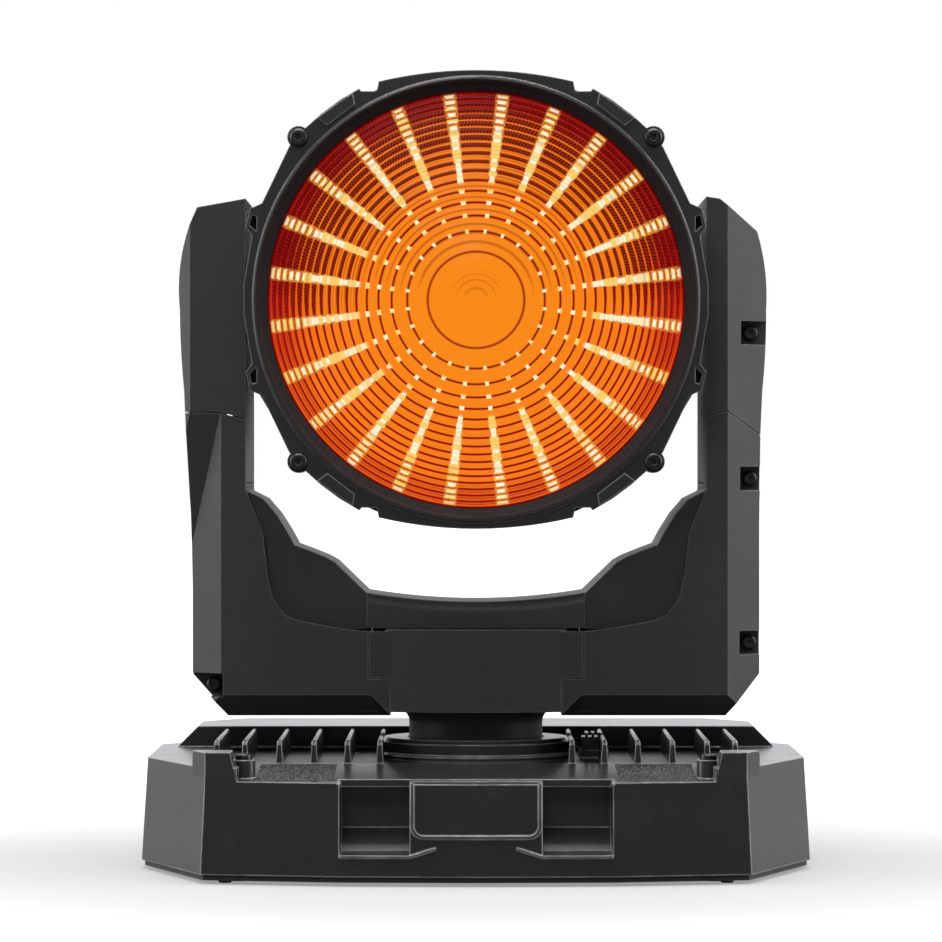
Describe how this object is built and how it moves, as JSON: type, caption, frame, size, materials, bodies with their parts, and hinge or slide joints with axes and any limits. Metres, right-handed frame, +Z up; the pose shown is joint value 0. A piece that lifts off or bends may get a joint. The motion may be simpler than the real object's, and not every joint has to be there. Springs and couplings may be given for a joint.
{
  "type": "moving head light",
  "caption": "Moving head stage light: a cast base, a panning U yoke and a tilting head with a large stepped lens in a faceted bezel.",
  "frame": {"origin": "on the pan axis, in the plane that the feet stand on", "axes": "+X to the right seen from the lens side, +Y to the back, +Z up along the pan axis"},
  "size_m": [0.312, 0.268, 0.369],
  "materials": {
    "cast_black": "gloss black paint over a casting",
    "fin_metal": "gloss black paint over cast fins",
    "yoke_plastic": "fine textured charcoal",
    "head_plastic": "fine textured near black",
    "bezel_plastic": "fine textured near black",
    "lens_clear": "stepped lens lit from behind",
    "rubber_black": "matt",
    "steel_dark": "black oxide",
    "steel_bright": "ground",
    "aluminium": "mill finish",
    "board_green": "solder mask",
    "panel_black": "satin black",
    "window_dark": "tinted",
    "button_grey": "soft",
    "brass": "plated",
    "motor_black": "satin",
    "fan_black": "moulded",
    "optic_glass": "clear"
  },
  "bodies": {
    "base": {"base_housing": "cast_black", "base_heat_sink": "fin_metal", "base_bottom_plate": "panel_black", "base_feet": "rubber_black", "base_screws": "steel_dark", "power_supply": "aluminium", "main_board": "board_green", "rear_panel": "panel_black", "power_sockets": "panel_black", "data_sockets": "panel_black", "socket_contacts": "brass", "display_board": "board_green", "display_window": "window_dark", "pan_collar": "cast_black", "pan_spindle": "aluminium"},
    "yoke": {"yoke_frame": "aluminium", "arm_caps": "yoke_plastic", "left_arm_cover": "yoke_plastic", "right_arm_cover": "yoke_plastic", "arm_inner_covers": "yoke_plastic", "gussets": "yoke_plastic", "crossbar_top": "yoke_plastic", "centre_covers": "yoke_plastic", "pan_neck": "yoke_plastic", "pan_bearing": "steel_bright", "arm_screws": "steel_dark", "tilt_bearings": "steel_bright", "pan_motor": "motor_black", "pan_belt": "rubber_black", "tilt_motor": "motor_black", "tilt_belt": "rubber_black"},
    "head": {"bezel": "bezel_plastic", "lens": "lens_clear", "lens_gasket": "rubber_black", "lens_retaining_ring": "aluminium", "bezel_screws": "steel_dark", "front_shell": "head_plastic", "upper_rear_shell": "head_plastic", "lower_rear_shell": "head_plastic", "rear_vent_grille": "panel_black", "head_chassis": "aluminium", "tilt_hubs": "motor_black", "tilt_pulley": "aluminium", "guide_rods": "steel_bright", "zoom_motor": "motor_black", "led_ring_board": "board_green", "led_engine": "aluminium", "head_heat_sink": "aluminium", "fan_frame": "fan_black"},
    "pan_lock": {"pan_lock_slider": "cast_black"},
    "pan_drive_pulley": {"pan_motor_pulley": "aluminium"},
    "tilt_drive_pulley": {"tilt_motor_pulley": "aluminium"},
    "zoom": {"zoom_carriage": "aluminium", "zoom_lens": "optic_glass"},
    "zoom_screw": {"zoom_lead_screw": "steel_bright"},
    "fan": {"fan_rotor": "fan_black"},
    "menu_button_1": {"menu_button_1": "button_grey"},
    "menu_button_2": {"menu_button_2": "button_grey"},
    "menu_button_3": {"menu_button_3": "button_grey"},
    "menu_button_4": {"menu_button_4": "button_grey"}
  },
  "joints": [
    {"name": "pan", "type": "hinge", "parent": "base", "child": "yoke", "pos_m": [0, 0, 0.06], "axis": [0, 0, 1], "range_deg": [-270, 270]},
    {"name": "tilt", "type": "hinge", "parent": "yoke", "child": "head", "pos_m": [0, 0, 0.264], "axis": [1, 0, 0], "range_deg": [-225, 45]},
    {"name": "pan_lock_slide", "type": "slide", "parent": "base", "child": "pan_lock", "axis": [-1, 0, 0], "range_m": [0, 0.004]},
    {"name": "pan_motor_spin", "type": "hinge", "parent": "yoke", "child": "pan_drive_pulley", "pos_m": [0.084, 0, 0.09], "axis": [0, 0, 1], "range_deg": [-1200, 1200]},
    {"name": "tilt_motor_spin", "type": "hinge", "parent": "yoke", "child": "tilt_drive_pulley", "pos_m": [-0.12, 0, 0.112], "axis": [1, 0, 0], "range_deg": [-850, 175]},
    {"name": "zoom_slide", "type": "slide", "parent": "head", "child": "zoom", "axis": [0, -1, 0], "range_m": [0, 0.016]},
    {"name": "zoom_screw_spin", "type": "hinge", "parent": "head", "child": "zoom_screw", "pos_m": [0.058, -0.03, 0.264], "axis": [0, 1, 0], "range_deg": [-1445, 1445]},
    {"name": "fan_spin", "type": "hinge", "parent": "head", "child": "fan", "pos_m": [0, 0.09, 0.264], "axis": [0, 1, 0], "continuous": true},
    {"name": "menu_button_1_press", "type": "slide", "parent": "base", "child": "menu_button_1", "axis": [0, -1, 0], "range_m": [0, 0.0012], "stiffness_N_per_m": 400},
    {"name": "menu_button_2_press", "type": "slide", "parent": "base", "child": "menu_button_2", "axis": [0, -1, 0], "range_m": [0, 0.0012], "stiffness_N_per_m": 400},
    {"name": "menu_button_3_press", "type": "slide", "parent": "base", "child": "menu_button_3", "axis": [0, -1, 0], "range_m": [0, 0.0012], "stiffness_N_per_m": 400},
    {"name": "menu_button_4_press", "type": "slide", "parent": "base", "child": "menu_button_4", "axis": [0, -1, 0], "range_m": [0, 0.0012], "stiffness_N_per_m": 400}
  ],
  "couplings": [
    {"joint": "pan_motor_spin", "follows": "pan", "ratio": -4.25},
    {"joint": "tilt_motor_spin", "follows": "tilt", "ratio": 3.75},
    {"joint": "zoom_screw_spin", "follows": "zoom_slide", "rad_per_m": 1570.8}
  ]
}
